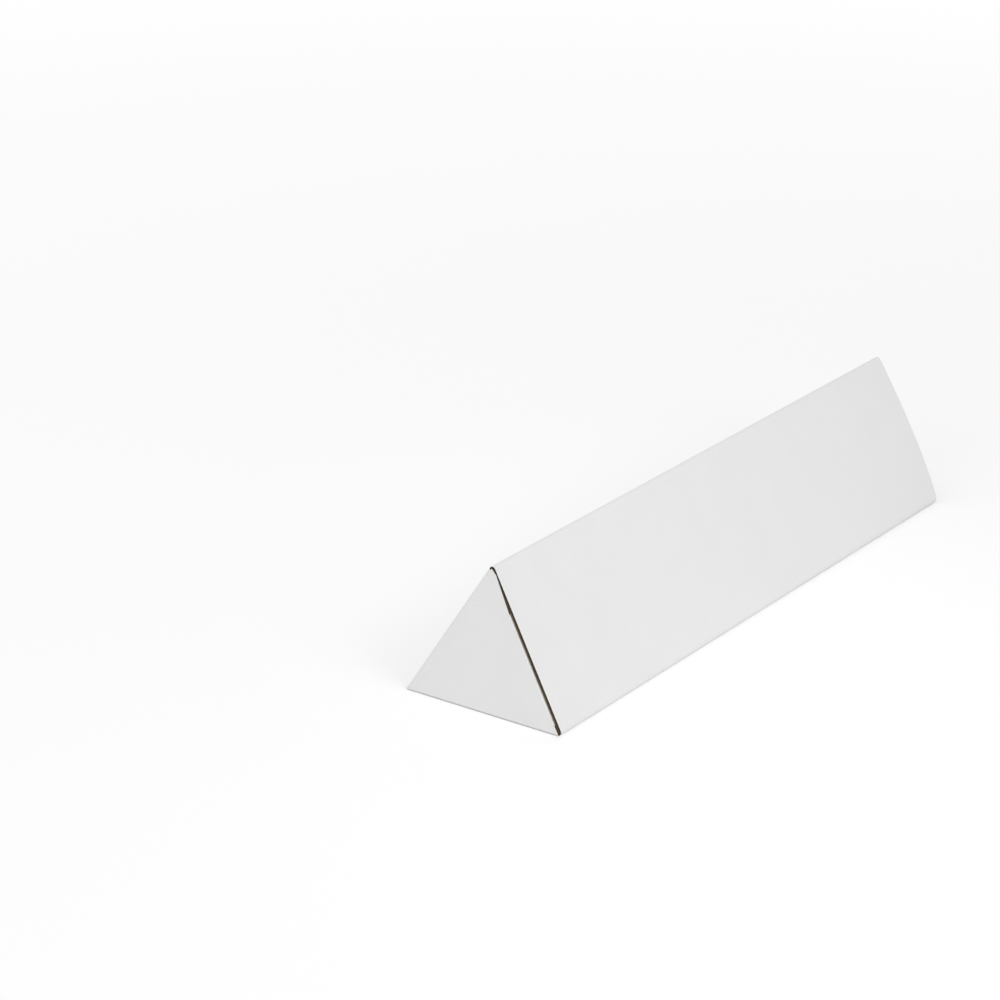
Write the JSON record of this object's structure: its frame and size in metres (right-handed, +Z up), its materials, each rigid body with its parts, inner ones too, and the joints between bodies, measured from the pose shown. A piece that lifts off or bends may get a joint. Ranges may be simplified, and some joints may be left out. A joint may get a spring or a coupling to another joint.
{
  "type": "cardboard mailing tube",
  "caption": "Triangular mailing tube folded from white-faced corrugated board, with hinged end flaps that tuck behind a wall.",
  "frame": {"origin": "centre of the bottom wall's outer face, half way along the tube", "axes": "+Y along the tube, away from the near end; +Z up from the bottom wall to the ridge; +X to the right seen from the near end"},
  "size_m": [0.098, 0.445, 0.0846],
  "materials": {
    "board": "matte white outer liner over brown flutes and brown inner liner"
  },
  "bodies": {
    "sleeve": {"sleeve": "board"},
    "near_flap": {"near_end_flap": "board"},
    "far_flap": {"far_end_flap": "board"}
  },
  "joints": [
    {"name": "near_flap_fold", "type": "hinge", "parent": "sleeve", "child": "near_flap", "pos_m": [-0.05, -0.2225, 0], "axis": [-0.5, 0, -0.866], "range_deg": [0, 150]},
    {"name": "far_flap_fold", "type": "hinge", "parent": "sleeve", "child": "far_flap", "pos_m": [-0.05, 0.2225, 0], "axis": [0.5, 0, 0.866], "range_deg": [0, 150]}
  ]
}
